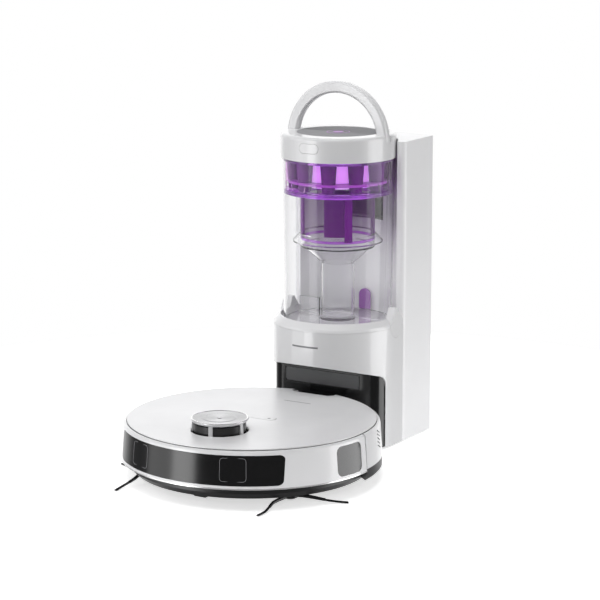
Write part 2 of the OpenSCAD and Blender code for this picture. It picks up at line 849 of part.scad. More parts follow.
module main_board() {
    color(green) at_robot() box([-60, -104, 54], [60, -38, 55.6]);
    color(black) at_robot() {
        for (x = [-40, 18]) box([x, -60, 55.6], [x + 14, -46, 57]);
        box([-52, -100, 55.6], [-38, -94, 60]);
        box([38, -100, 55.6], [52, -94, 60]);
    }
}

module dust_box() {
    t = 1.8;
    low = 20;
    color(grey) at_robot() difference() {
        union() {
            box([dust_box_x[0], dust_box_y[0], low], [dust_box_x[1], dust_box_y[1], 70]);
            box([-20, dust_box_y[1] - 1, port_z[0]], [20, 169, port_z[1]]);
        }
        box([dust_box_x[0] + t, dust_box_y[0] + t, low + t],
            [dust_box_x[1] - t, dust_box_y[1] - t, 71]);
        box([-20 + t, dust_box_y[1] - 5, port_z[0] + t], [20 - t, 170, port_z[1] - t]);
        // Mouth from the brush chamber, and the way to the fan
        box([-28, dust_box_y[0] - 1, 29], [28, dust_box_y[0] + 5, 39]);
        box([dust_box_x[1] - 5, 94, 34], [dust_box_x[1] + 1, 122, 58]);
    }
}

module dust_filter() {
    color(white) at_robot() difference() {
        box([52, 92, 30], [57.9, 124, 62]);
        for (i = [0:5]) box([51, 94.5 + i * 5, 32], [56, 97 + i * 5, 60]);
    }
}

module fan_housing() {
    color(grey) at_robot() translate([fan_pos[0], fan_pos[1], 0]) difference() {
        union() {
            translate([0, 0, 22]) cylinder(r = 22, h = 38);
            box([-27.8, -10, 40], [0, 10, 56]);
        }
        translate([0, 0, 38]) cylinder(r = 20, h = 20);
        translate([0, 0, 22]) cylinder(r = 3 + fit, h = 30);
        box([-29, -8, 42], [0, 8, 54]);
    }
}

module fan_impeller() {
    color(steel) at_robot() translate([fan_pos[0], fan_pos[1], 40])
        impeller(18, 14, 5, 3, 14, 7);
}

module brush_guard() {
    color(grey) at_robot() difference() {
        box([-84, main_brush_pos[0] - 28, ground_gap - 2.4],
            [84, main_brush_pos[0] + 28, ground_gap]);
        box([-77, main_brush_pos[0] - 18.5, 0], [77, main_brush_pos[0] + 18.5, 20]);
        for (s = [-1, 1]) box([s > 0 ? 80.5 : -90, 0, 0], [s > 0 ? 90 : -80.5, 40, 20]);
    }
}

module brush_motors() {
    color(grey) at_robot() {
        for (s = [-1, 1]) translate([s * brush_hub[0], brush_hub[1], 0]) difference() {
            translate([0, 0, 26.1]) cylinder(r = 15, h = 26);
            translate([0, 0, 20]) cylinder(r = 3 + fit, h = 15);
        }
        // Main brush motor above the chamber
        rod_x(10, -74, -34, main_brush_pos[0], 59.5);
    }
}

module charge_pads() {
    color(gold) at_robot() for (x = [-45, 45]) box([x - 6, 159, 18], [x + 6, 168, 26]);
}

module cliff_sensors() {
    color(black) at_robot() for (a = sensor_angles)
        rotate([0, 0, a]) translate([0, -150, ground_gap + 0.4]) cylinder(r = 4, h = 8);
}

module robot_screws() {
    color(steel) at_robot() for (p = robot_screw_pos)
        translate([p[0], p[1], ground_gap - 1.6]) screw(3, 1.6, 1.6, 8);
}

// Side brush: hub, drive shaft and three kinked arms, drawn for the right-hand side
module side_brush() {
    tip = 1.3;
    translate([0, 0, 7]) cylinder(r = 11, h = 8);
    translate([0, 0, 14]) cylinder(r = 3, h = 20);
    for (a = [28:120:268]) rotate([0, 0, a]) {
        strut([5, 0, 9.6], [36, -3, 7.6], 5, 2.6);
        strut([34, -3.4, 7.7], [60, 1.2, 1.9], 3.4, 2);
        strut([58, 1, 1.9], [side_brush_r, 0, tip], 3, 1.8);
    }
}

module side_brush_right() {
    color(black) at_robot() translate([brush_hub[0], brush_hub[1], 0]) side_brush();
}

module side_brush_left() {
    color(black) at_robot() mirror([1, 0, 0])
        translate([brush_hub[0], brush_hub[1], 0]) side_brush();
}

module main_brush() {
    color(grey) at_robot() {
        rod_x(8, -main_brush_half, main_brush_half, main_brush_pos[0], main_brush_pos[1]);
        rod_x(3, -81.5, 81.5, main_brush_pos[0], main_brush_pos[1]);
        for (i = [0:5])
            translate([0, main_brush_pos[0], main_brush_pos[1]]) rotate([i * 60, 0, 0])
            box([-main_brush_half, -1.2, 6], [main_brush_half, 1.2, main_brush_r]);
    }
}

// Swinging gearbox that carries a drive wheel, drawn for the right-hand side
module wheel_arm() {
    x_in = 85;
    x_mid = 106;
    x_out = 128;
    difference() {
        union() {
            box([x_in, wheel_y - 12, 24], [x_mid, arm_pivot[0] + 8, 54]);
            rod_x(12, x_in, x_mid, wheel_y, wheel_r);
            rod_x(8, x_in, x_out, arm_pivot[0], arm_pivot[1]);
        }
        rod_x(3 + fit, 80, 135, arm_pivot[0], arm_pivot[1]);
    }
    rod_x(4, x_mid - 6, x_out, wheel_y, wheel_r);
}

module wheel_arm_right() {
    color(grey) at_robot() wheel_arm();
}

module wheel_arm_left() {
    color(grey) at_robot() mirror([1, 0, 0]) wheel_arm();
}

// Drive wheel with a treaded tyre, drawn for the right-hand side
module wheel() {
    x0 = wheel_x - wheel_w / 2 + 0.5;
    difference() {
        rod_x(wheel_r, x0, x0 + wheel_w - 1, wheel_y, wheel_r);
        rod_x(4 + fit, x0 - 1, x0 + wheel_w, wheel_y, wheel_r);
        for (i = [0:19]) translate([0, wheel_y, wheel_r]) rotate([i * 18 + 9, 0, 0])
            box([x0 + 4, -1.6, wheel_r - 2], [x0 + wheel_w - 5, 1.6, wheel_r + 2]);
        rod_x(20, x0 + wheel_w - 4, x0 + wheel_w, wheel_y, wheel_r);
    }
}

module wheel_right() {
    color(black) at_robot() wheel();
}

module wheel_left() {
    color(black) at_robot() mirror([1, 0, 0]) wheel();
}

module caster_fork() {
    axle_y = caster_trail;
    color(grey) at_robot() translate([0, caster_y, 0]) difference() {
        union() {
            translate([0, 0, 18]) cylinder(r = 22, h = 12);
            translate([0, 0, 28]) cylinder(r = 4, h = 15);
            for (s = [-1, 1]) box([s > 0 ? 8 : -12, axle_y - 8, 8], [s > 0 ? 12 : -8, axle_y + 8, 20]);
        }
        rod_x(2 + fit, -20, 20, axle_y, caster_r);
        rod_x(caster_r + 1, -7.5, 7.5, axle_y, caster_r);
    }
}

module caster_wheel() {
    color(black) at_robot() translate([0, caster_y, 0]) {
        rod_x(caster_r, -7, 7, caster_trail, caster_r);
        rod_x(2, -11.5, 11.5, caster_trail, caster_r);
    }
}

base_plate();
base_feet();
tower_shell();
tower_back();
front_housing();
bin_collar();
bay_insert();
dock_seal();
charge_contacts();
intake_duct();
suction_duct();
suction_motor();
motor_impeller();
exhaust_filter();
exhaust_grille();
power_board();
power_inlet();
station_screws();
bin_wall();
bin_floor();
floor_latch();
cyclone_block();
mesh_filter();
cone_skirt();
inner_cone();
bin_lid();
lid_filter();
lid_button();
bin_handle();
chassis();
rear_shell();
mid_deck();
turret_base();
lidar_rotor();
turret_cap();
battery();
main_board();
dust_box();
dust_filter();
fan_housing();
fan_impeller();
brush_guard();
brush_motors();
charge_pads();
cliff_sensors();
robot_screws();
top_cover();
control_button();
bumper_shell();
front_window();
side_windows();
side_brush_right();
side_brush_left();
main_brush();
wheel_arm_right();
wheel_arm_left();
wheel_right();
wheel_left();
caster_fork();
caster_wheel();
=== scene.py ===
"""Looks for the robot vacuum in its self-emptying station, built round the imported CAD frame."""
import json
import math
import random

import bmesh
import bpy
from mathutils import Matrix, Vector


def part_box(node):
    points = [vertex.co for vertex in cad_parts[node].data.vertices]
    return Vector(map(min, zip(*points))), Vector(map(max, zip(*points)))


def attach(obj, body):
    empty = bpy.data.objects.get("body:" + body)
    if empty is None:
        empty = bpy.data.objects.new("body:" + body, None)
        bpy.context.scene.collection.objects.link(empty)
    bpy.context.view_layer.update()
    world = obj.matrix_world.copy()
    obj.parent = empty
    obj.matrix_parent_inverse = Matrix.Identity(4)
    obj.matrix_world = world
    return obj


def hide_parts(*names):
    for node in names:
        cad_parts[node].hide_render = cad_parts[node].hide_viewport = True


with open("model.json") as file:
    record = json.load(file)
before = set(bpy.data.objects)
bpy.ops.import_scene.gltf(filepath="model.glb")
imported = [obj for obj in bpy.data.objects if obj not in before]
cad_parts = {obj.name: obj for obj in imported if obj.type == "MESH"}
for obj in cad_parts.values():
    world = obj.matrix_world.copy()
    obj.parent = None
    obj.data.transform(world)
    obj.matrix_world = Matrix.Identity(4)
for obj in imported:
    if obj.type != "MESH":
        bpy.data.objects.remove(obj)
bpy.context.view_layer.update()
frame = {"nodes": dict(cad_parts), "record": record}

NODES = frame["nodes"]
MM = 0.001
# Steps in a full turn of a large round piece
RING_STEPS = 192
# Radius in millimetres that closes an outline at its axis
AXIS = 0.01
# Distance in metres below which two points are one
WELD = 1e-6
random.seed(7)


# ---- places, worked out from the frame ----

def centre_xy(node):
    low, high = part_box(node)
    return Vector(((low[0] + high[0]) / 2, (low[1] + high[1]) / 2, 0))


def low_z(node):
    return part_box(node)[0][2]


def high_z(node):
    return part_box(node)[1][2]


def half_width(node):
    low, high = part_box(node)
    return (high[0] - low[0]) / 2


def outward(angle):
    """Level direction at an angle in radians from -Y towards +X."""
    return Vector((math.sin(angle), -math.cos(angle), 0))


ROBOT = centre_xy("mid_deck")
BIN = centre_xy("bin_lid")
TURRET = centre_xy("turret_cap")
ROBOT_R = half_width("bumper_shell")


# ---- camera, lights and floor ----

CAMERA_AZIMUTH = math.radians(31.4)
CAMERA_PITCH = math.radians(11.58)
# From the point on the floor under the robot's middle, in metres
CAMERA_PLACE = Vector((1.632, -2.551, 0.859))
SENSOR_MM, LENS_MM = 36, 140.8


def make_camera():
    camera = bpy.data.objects.new("camera", bpy.data.cameras.new("camera"))
    camera.data.sensor_width = SENSOR_MM
    camera.data.lens = LENS_MM
    look = -outward(CAMERA_AZIMUTH) * math.cos(CAMERA_PITCH)
    look.z = -math.sin(CAMERA_PITCH)
    camera.location = CAMERA_PLACE + Vector((ROBOT.x, ROBOT.y, 0))
    camera.rotation_mode = "QUATERNION"
    camera.rotation_quaternion = look.to_track_quat("-Z", "Y")
    camera.data.clip_end = 50
    bpy.context.collection.objects.link(camera)
    bpy.context.scene.camera = camera


def from_camera(turn, reach, height):
    """Place round the object: its turn in degrees is from the camera's side to its right."""
    return outward(CAMERA_AZIMUTH + math.radians(turn)) * reach + Vector((0, 0, height))


def area_light(name, place, target, width, height, radiance, diffuse=True, glossy=True):
    """Softbox whose brightness is set as radiance, so its size doesn't change how it reflects."""
    data = bpy.data.lights.new(name, "AREA")
    data.shape = "RECTANGLE"
    data.size, data.size_y = width, height
    data.energy = radiance * math.pi * width * height
    light = bpy.data.objects.new(name, data)
    light.location = place
    light.rotation_mode = "QUATERNION"
    light.rotation_quaternion = (Vector(target) - Vector(place)).to_track_quat("-Z", "Y")
    light.visible_camera = False
    light.visible_transmission = False
    light.visible_diffuse = diffuse
    light.visible_glossy = glossy
    bpy.context.collection.objects.link(light)


# How far round the gloss of the studio changes: cosines of the angle from the camera's side
BEHIND, BESIDE = -0.95, -0.55


def make_world(seen, front_gloss, back_gloss):
    """White to the camera and through glass, and no light on matt surfaces.

    Gloss sees it bright behind the object, and dim in front and to the sides.
    """
    world = bpy.data.worlds.new("studio")
    world.use_nodes = True
    nodes, links = world.node_tree.nodes, world.node_tree.links
    nodes.clear()
    out = nodes.new("ShaderNodeOutputWorld")
    back = nodes.new("ShaderNodeBackground")
    path = nodes.new("ShaderNodeLightPath")
    way = nodes.new("ShaderNodeTexCoord")
    facing = nodes.new("ShaderNodeVectorMath")
    facing.operation = "DOT_PRODUCT"
    facing.inputs[1].default_value = outward(CAMERA_AZIMUTH)
    links.new(way.outputs["Generated"], facing.inputs[0])
    lobe = nodes.new("ShaderNodeMapRange")
    lobe.interpolation_type = "SMOOTHSTEP"
    lobe.inputs["From Min"].default_value = BEHIND
    lobe.inputs["From Max"].default_value = BESIDE
    lobe.inputs["To Min"].default_value = back_gloss
    lobe.inputs["To Max"].default_value = front_gloss
    links.new(facing.outputs["Value"], lobe.inputs["Value"])
    straight = nodes.new("ShaderNodeMath")
    straight.operation = "MAXIMUM"
    links.new(path.outputs["Is Camera Ray"], straight.inputs[0])
    links.new(path.outputs["Is Transmission Ray"], straight.inputs[1])
    gloss = nodes.new("ShaderNodeMath")
    gloss.operation = "MULTIPLY"
    links.new(lobe.outputs["Result"], gloss.inputs[0])
    links.new(path.outputs["Is Glossy Ray"], gloss.inputs[1])
    level = nodes.new("ShaderNodeMix")
    level.inputs["B"].default_value = seen
    links.new(straight.outputs["Value"], level.inputs["Factor"])
    links.new(gloss.outputs["Value"], level.inputs["A"])
    links.new(level.outputs["Result"], back.inputs["Strength"])
    back.inputs["Color"].default_value = (1, 1, 1, 1)
    links.new(back.outputs["Background"], out.inputs["Surface"])
    bpy.context.scene.world = world


# Softboxes: name, turn from the camera in degrees, reach, height, width, length, radiance
FILLS = (
    ("fill_left", -97, 1.7, 0.75, 1.1, 1.5, 3.0),
    ("fill_right", 92, 1.7, 0.75, 1.0, 1.5, 2.3),
    ("fill_front", 0, 2.6, 1.3, 1.2, 1.0, 3.0),
    ("fill_top", -30, 0.5, 2.0, 1.6, 1.6, 3.6),
    ("fill_back", 175, 2.2, 1.0, 1.4, 1.4, 2.2),
)
# Cards that only show as reflections: name, turn, width, radiance
CARDS = (
    ("card_left_wide", -68, 1.1, 1.6),
    ("card_left_core", -55, 0.42, 3.4),
    ("card_right", 82, 0.8, 3.2),
)
CARD_REACH, CARD_HEIGHT, CARD_MIDDLE = 1.25, 1.7, 0.1
FILL_TARGET = (0, 0.02, 0.22)
FLOOR_RADIUS, FLOOR_DROP = 0.85, 0.0004
# Light paths long enough for all the clear walls of the bin
BOUNCES = 32


def make_studio():
    scene = bpy.context.scene
    scene.view_settings.view_transform = "Standard"
    scene.cycles.max_bounces = BOUNCES
    scene.cycles.transmission_bounces = BOUNCES
    scene.cycles.transparent_max_bounces = BOUNCES
    make_world(seen=1.0, front_gloss=0.17, back_gloss=1.35)
    for name, turn, reach, height, width, length, level in FILLS:
        area_light(name, from_camera(turn, reach, height), FILL_TARGET, width, length, level,
                   glossy=False)
    for name, turn, width, level in CARDS:
        area_light(name, from_camera(turn, CARD_REACH, CARD_MIDDLE), (0, 0, CARD_MIDDLE),
                   width, CARD_HEIGHT, level, diffuse=False)
    mesh = bpy.data.meshes.new("floor")
    form = bmesh.new()
    bmesh.ops.create_circle(form, cap_ends=True, radius=FLOOR_RADIUS, segments=96)
    form.to_mesh(mesh)
    form.free()
    floor = bpy.data.objects.new("floor", mesh)
    floor.location = (0, 0, -FLOOR_DROP)
    floor.visible_glossy = False
    bpy.context.collection.objects.link(floor)
    mesh.materials.append(floor_paint())


# ---- materials ----

def new_material(name):
    material = bpy.data.materials.new(name)
    material.use_nodes = True
    tree = material.node_tree
    return material, tree, tree.nodes["Principled BSDF"]


def noise(tree, scale, detail=2.0, stretch=None):
    """Noise in object space, whose scale is in features per metre."""
    place = tree.nodes.new("ShaderNodeTexCoord")
    texture = tree.nodes.new("ShaderNodeTexNoise")
    texture.inputs["Scale"].default_value = scale
    texture.inputs["Detail"].default_value = detail
    if stretch:
        mapping = tree.nodes.new("ShaderNodeMapping")
        mapping.inputs["Scale"].default_value = stretch
        tree.links.new(place.outputs["Object"], mapping.inputs["Vector"])
        tree.links.new(mapping.outputs["Vector"], texture.inputs["Vector"])
    else:
        tree.links.new(place.outputs["Object"], texture.inputs["Vector"])
    return texture


def remap(tree, source, low, high):
    """A value that runs from low to high as the source's output runs from 0.3 to 0.7."""
    node = tree.nodes.new("ShaderNodeMapRange")
    node.inputs["From Min"].default_value = 0.3
    node.inputs["From Max"].default_value = 0.7
    node.inputs["To Min"].default_value = low
    node.inputs["To Max"].default_value = high
    tree.links.new(source, node.inputs["Value"])
    return node.outputs["Result"]


def tone(tree, colour, spread, scale):
    """The base colour, a little darker and lighter from place to place."""
    ramp = tree.nodes.new("ShaderNodeValToRGB")
    ramp.color_ramp.elements[0].position = 0.3
    ramp.color_ramp.elements[1].position = 0.7
    ramp.color_ramp.elements[0].color = (*[c * (1 - spread) for c in colour], 1)
    ramp.color_ramp.elements[1].color = (*[min(1, c * (1 + spread)) for c in colour], 1)
    tree.links.new(noise(tree, scale, 3.0).outputs["Fac"], ramp.inputs["Fac"])
    return ramp.outputs["Color"]


def bump(tree, shader, height, strength, distance):
    """Fine relief, whose distance is in metres."""
    node = tree.nodes.new("ShaderNodeBump")
    node.inputs["Strength"].default_value = strength
    node.inputs["Distance"].default_value = distance
    tree.links.new(height, node.inputs["Height"])
    tree.links.new(node.outputs["Normal"], shader.inputs["Normal"])


def plastic(name, colour, rough, grain=0.15, coat=0.0, metal=0.0, spread=0.025, fine=1400,
            shine=0.5, painted_glow=0.0):
    """Moulded plastic: fine spark-eroded grain, slight tone drift and uneven gloss."""
    material, tree, shader = new_material(name)
    tree.links.new(tone(tree, colour, spread, 18), shader.inputs["Base Color"])
    cloud = noise(tree, 45, 4.0)
    tree.links.new(remap(tree, cloud.outputs["Fac"], rough * 0.94, min(1, rough * 1.06)),
                   shader.inputs["Roughness"])
    shader.inputs["Metallic"].default_value = metal
    shader.inputs["Specular IOR Level"].default_value = shine
    # Emission in the base colour is painted glow, standing in for light shining through from
    # behind; only the cyclone core sets it
    shader.inputs["Emission Color"].default_value = (*colour, 1)
    shader.inputs["Emission Strength"].default_value = painted_glow
    shader.inputs["Coat Weight"].default_value = coat
    shader.inputs["Coat Roughness"].default_value = 0.06
    bump(tree, shader, noise(tree, fine, 2.0).outputs["Fac"], grain, 0.0001)
    return material


def clear_plastic(name, colour, rough, ior, passes, transmission=1.0, drift=0.0):
    """Clear moulding with faint flow ripples and handling haze.

    Lamps shine through it: passes is the share of their light that gets past one surface.
    """
    material, tree, shader = new_material(name)
    tree.links.new(tone(tree, colour, drift, 30), shader.inputs["Base Color"])
    cloud = noise(tree, 60, 4.0)
    tree.links.new(remap(tree, cloud.outputs["Fac"], rough * 0.5, rough * 1.6),
                   shader.inputs["Roughness"])
    shader.inputs["IOR"].default_value = ior
    shader.inputs["Transmission Weight"].default_value = transmission
    bump(tree, shader, noise(tree, 35, 1.0, (1, 1, 0.2)).outputs["Fac"], 0.05, 0.0008)
    path = tree.nodes.new("ShaderNodeLightPath")
    open_side = tree.nodes.new("ShaderNodeBsdfTransparent")
    open_side.inputs["Color"].default_value = (*[passes * math.sqrt(c) for c in colour], 1)
    mix = tree.nodes.new("ShaderNodeMixShader")
    tree.links.new(path.outputs["Is Shadow Ray"], mix.inputs["Fac"])
    tree.links.new(shader.outputs["BSDF"], mix.inputs[1])
    tree.links.new(open_side.outputs["BSDF"], mix.inputs[2])
    tree.links.new(mix.outputs["Shader"], tree.nodes["Material Output"].inputs["Surface"])
    return material


def floor_paint():
    """Pale studio floor, lit from within a little so that it stays white round the object."""
    material, tree, shader = new_material("floor_paint")
    tree.links.new(tone(tree, (0.93, 0.93, 0.93), 0.01, 8), shader.inputs["Base Color"])
    shader.inputs["Roughness"].default_value = 0.8
    shader.inputs["Emission Color"].default_value = (1, 1, 1, 1)
    shader.inputs["Emission Strength"].default_value = 0.62
    bump(tree, shader, noise(tree, 300, 2.0).outputs["Fac"], 0.1, 0.0005)
    return material


def spun_metal(name, colour, rough):
    """Metal turned on a lathe: rings about the turret's axis, and gloss that streaks across."""
    material, tree, shader = new_material(name)
    place = tree.nodes.new("ShaderNodeTexCoord")
    shift = tree.nodes.new("ShaderNodeVectorMath")
    shift.operation = "SUBTRACT"
    shift.inputs[1].default_value = (TURRET.x, TURRET.y, 0)
    flat = tree.nodes.new("ShaderNodeVectorMath")
    flat.operation = "MULTIPLY"
    flat.inputs[1].default_value = (1, 1, 0)
    reach = tree.nodes.new("ShaderNodeVectorMath")
    reach.operation = "LENGTH"
    rings = tree.nodes.new("ShaderNodeTexNoise")
    rings.noise_dimensions = "1D"
    rings.inputs["Scale"].default_value = 2600
    rings.inputs["Detail"].default_value = 4
    tree.links.new(place.outputs["Object"], shift.inputs[0])
    tree.links.new(shift.outputs["Vector"], flat.inputs[0])
    tree.links.new(flat.outputs["Vector"], reach.inputs[0])
    tree.links.new(reach.outputs["Value"], rings.inputs["W"])
    ramp = tree.nodes.new("ShaderNodeValToRGB")
    ramp.color_ramp.elements[0].position = 0.35
    ramp.color_ramp.elements[1].position = 0.65
    ramp.color_ramp.elements[0].color = (*[c * 0.88 for c in colour], 1)
    ramp.color_ramp.elements[1].color = (*colour, 1)
    tree.links.new(rings.outputs["Fac"], ramp.inputs["Fac"])
    tree.links.new(ramp.outputs["Color"], shader.inputs["Base Color"])
    tree.links.new(remap(tree, rings.outputs["Fac"], rough * 0.8, rough * 1.2),
                   shader.inputs["Roughness"])
    shader.inputs["Metallic"].default_value = 1.0
    shader.inputs["Anisotropic"].default_value = 0.9
    tangent = tree.nodes.new("ShaderNodeTangent")
    tangent.direction_type = "RADIAL"
    tangent.axis = "Z"
    tree.links.new(tangent.outputs["Tangent"], shader.inputs["Tangent"])
    bump(tree, shader, rings.outputs["Fac"], 0.25, 0.00004)
    return material


def woven(name, colour):
    """Filter fleece: soft fibres with strong bump and no gloss."""
    material, tree, shader = new_material(name)
    tree.links.new(tone(tree, colour, 0.08, 160), shader.inputs["Base Color"])
    shader.inputs["Roughness"].default_value = 0.95
    shader.inputs["Sheen Weight"].default_value = 0.2
    bump(tree, shader, noise(tree, 2200, 5.0).outputs["Fac"], 0.7, 0.0003)
    return material


def make_materials():
    return {
        "white_shell": plastic("white_shell", (0.72, 0.72, 0.73), 0.30, 0.05, coat=0.6,
                               spread=0.01),
        "tower_white": plastic("tower_white", (0.85, 0.85, 0.86), 0.36, 0.05, coat=0.1,
                               spread=0.01, shine=0.35),
        "pearl_cover": plastic("pearl_cover", (0.74, 0.74, 0.75), 0.36, 0.16, coat=0.15,
                               metal=0.15, fine=2600),
        "bin_lid_white": plastic("bin_lid_white", (0.70, 0.70, 0.71), 0.32, 0.08, coat=0.5),
        "lid_disc_grey": plastic("lid_disc_grey", (0.31, 0.31, 0.32), 0.85, 0.15, shine=0.05),
        "black_plastic": plastic("black_plastic", (0.012, 0.012, 0.013), 0.38, 0.3),
        "black_gloss": plastic("black_gloss", (0.004, 0.004, 0.0045), 0.19, 0.02),
        "dark_window": plastic("dark_window", (0.008, 0.008, 0.009), 0.13, 0.02, coat=0.5),
        "smoked_window": plastic("smoked_window", (0.006, 0.006, 0.007), 0.12, 0.02, coat=0.3),
        "grey_plastic": plastic("grey_plastic", (0.06, 0.06, 0.065), 0.45, 0.3),
        "panel_grey": plastic("panel_grey", (0.038, 0.039, 0.042), 0.4, 0.2),
        "clear_bin": clear_plastic("clear_bin", (0.99, 0.99, 0.995), 0.015, 1.33, 0.995),
        "purple_clear": clear_plastic("purple_clear", (0.62, 0.16, 0.88), 0.05, 1.35, 0.97,
                                      0.9, 0.06),
        "purple_skirt": clear_plastic("purple_skirt", (0.94, 0.62, 1.0), 0.03, 1.22, 0.995,
                                      drift=0.04),
        "purple_deep": plastic("purple_deep", (0.11, 0.002, 0.17), 0.35, 0.05, shine=0.06),
        # The cyclone core glows a little: painted light for the backlit purple between the cones
        "purple_core_painted_light": plastic("purple_core_painted_light", (0.84, 0.54, 1.0), 0.5, 0.05, shine=0.2,
                               painted_glow=0.5),
        "purple_mesh": plastic("purple_mesh", (0.34, 0.09, 0.46), 0.3, 0.05, shine=0.3),
        "brushed_cap": spun_metal("brushed_cap", (0.50, 0.50, 0.51), 0.22),
        "rubber": plastic("rubber", (0.012, 0.012, 0.012), 0.62, 0.5),
        "tyre": plastic("tyre", (0.014, 0.014, 0.014), 0.72, 0.7),
        "bristle": plastic("bristle", (0.006, 0.006, 0.007), 0.34, 0.2),
        "brush_rubber": plastic("brush_rubber", (0.05, 0.05, 0.055), 0.5, 0.4),
        "steel": plastic("steel", (0.55, 0.55, 0.57), 0.30, 0.2, metal=1.0),
        "silver_line": plastic("silver_line", (0.80, 0.80, 0.81), 0.22, 0.05, metal=0.7),
        "contact": plastic("contact", (0.80, 0.58, 0.25), 0.22, 0.1, metal=1.0),
        "board": plastic("board", (0.015, 0.11, 0.05), 0.4, 0.3, spread=0.2),
        "filter": woven("filter", (0.78, 0.78, 0.74)),
        "cell_wrap": plastic("cell_wrap", (0.03, 0.07, 0.17), 0.35, 0.2),
        "soft_grey": plastic("soft_grey", (0.19, 0.19, 0.20), 0.4, 0.1),
        # Near-black for strips and rings set in gaps: painted shade
        "painted_gap_shade": plastic("painted_gap_shade", (0.02, 0.02, 0.021), 0.6, 0.2),
    }


# ---- mesh helpers ----

def finish_piece(name, form, material, body, replaced=(), sharp=38):
    """Turns a bmesh into a piece that rides on a body."""
    bmesh.ops.recalc_face_normals(form, faces=form.faces)
    mesh = bpy.data.meshes.new(name)
    form.to_mesh(mesh)
    form.free()
    for face in mesh.polygons:
        face.use_smooth = True
    mesh.set_sharp_from_angle(angle=math.radians(sharp))
    piece = bpy.data.objects.new(name, mesh)
    bpy.context.collection.objects.link(piece)
    mesh.materials.append(material)
    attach(piece, body)
    if replaced:
        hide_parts(*replaced)
    return piece


def rounded(points, steps=5):
    """Closed outline with its corners rounded. Each point is (x, y, corner radius)."""
    outline = []
    count = len(points)
    for i, (x, y, radius) in enumerate(points):
        here = Vector((x, y))
        if radius <= 0:
            outline.append(here)
            continue
        before = Vector(points[i - 1][:2]) - here
        after = Vector(points[(i + 1) % count][:2]) - here
        half = before.angle(after) / 2
        reach = min(radius / math.tan(half), before.length * 0.49, after.length * 0.49)
        start, end = here + before.normalized() * reach, here + after.normalized() * reach
        for k in range(steps + 1):
            t = k / steps
            outline.append(start * (1 - t) ** 2 + here * 2 * t * (1 - t) + end * t ** 2)
    return outline


def revolve_form(outline, centre, start=0.0, end=360.0, steps=RING_STEPS):
    """Closed (r, z) outline turned about a vertical axis, in millimetres and degrees from -Y."""
    form = bmesh.new()
    full = end - start >= 360
    count = steps if full else steps + 1
    rings = []
    for i in range(count):
        across = outward(math.radians(start + (end - start) * i / steps))
        rings.append([form.verts.new(centre + across * p[0] * MM + Vector((0, 0, p[1] * MM)))
                      for p in outline])
    size = len(outline)
    for i in range(count if full else count - 1):
        near, far = rings[i], rings[(i + 1) % count]
        for k in range(size):
            form.faces.new((near[k], near[(k + 1) % size], far[(k + 1) % size], far[k]))
    if not full:
        form.faces.new(rings[0])
        form.faces.new(rings[-1])
    bmesh.ops.remove_doubles(form, verts=form.verts, dist=WELD)
    return form


def prism_form(outline, depth, place):
    """Closed outline (mm) raised by depth (mm), put in place by a matrix (metres)."""
    form = bmesh.new()
    low = [form.verts.new(place @ Vector((p[0] * MM, p[1] * MM, 0))) for p in outline]
    high = [form.verts.new(place @ Vector((p[0] * MM, p[1] * MM, depth * MM)))
            for p in outline]
    form.faces.new(low)
    form.faces.new(high)
    for i in range(len(outline)):
        j = (i + 1) % len(outline)
        form.faces.new((low[i], low[j], high[j], high[i]))
    return form


def pill(width, height, radius, middle=(0, 0)):
    """Rectangle with rounded corners about a middle, all in millimetres."""
    w, h = width / 2, height / 2
    outline = rounded([(-w, -h, radius), (w, -h, radius), (w, h, radius), (-w, h, radius)], 8)
    return [point + Vector(middle) for point in outline]


def arc(centre, radius, start, end, steps):
    """Points along an arc about a centre, angles in degrees from -Y towards +X."""
    turns = [math.radians(start + (end - start) * i / steps) for i in range(steps + 1)]
    return [Vector(centre) + outward(turn).xy * radius for turn in turns]


def tube_form(form, points, radius, sides, closed=False, taper=1.0):
    """Adds a round tube along points (metres) to a bmesh."""
    rings = []
    count = len(points)
    for i, point in enumerate(points):
        before = points[i - 1] if i or closed else points[0]
        after = points[(i + 1) % count] if i < count - 1 or closed else points[-1]
        along = (after - before).normalized()
        side = along.cross(Vector((0, 0, 1)))
        side = side.normalized() if side.length > 1e-4 else Vector((1, 0, 0))
        up = side.cross(along).normalized()
        size = radius * (1 + (taper - 1) * i / max(1, count - 1))
        rings.append([form.verts.new(point + side * math.cos(a) * size
                                     + up * math.sin(a) * size)
                      for a in [2 * math.pi * k / sides for k in range(sides)]])
    for i in range(count if closed else count - 1):
        near, far = rings[i], rings[(i + 1) % count]
        for k in range(sides):
            j = (k + 1) % sides
            form.faces.new((near[k], near[j], far[j], far[k]))
    if not closed:
        form.faces.new(rings[0])
        form.faces.new(rings[-1])


def even_faces(piece, keep_sharp):
    """Keeps large flat faces flat where they meet rounded edges."""
    even = piece.modifiers.new("even_faces", "WEIGHTED_NORMAL")
    even.weight = 100
    even.keep_sharp = keep_sharp


def edge_bevel(piece, width):
    """Breaks the edges of a piece that turn by more than 35 degrees, by a width in millimetres."""
    bevel = piece.modifiers.new("edges", "BEVEL")
    bevel.width = width * MM
    bevel.segments = 3
    bevel.limit_method = "ANGLE"
    bevel.angle_limit = math.radians(35)
    bevel.use_clamp_overlap = True
    even_faces(piece, False)


def dress(node, material, bevel):
    """Gives a CAD node its finish and, where asked, broken edges."""
    piece = NODES[node]
    piece.data.materials.clear()
    piece.data.materials.append(material)
    for face in piece.data.polygons:
        face.use_smooth = True
    piece.data.set_sharp_from_angle(angle=math.radians(32))
    if bevel:
        edge_bevel(piece, bevel)


# ---- CAD nodes that keep their shape ----

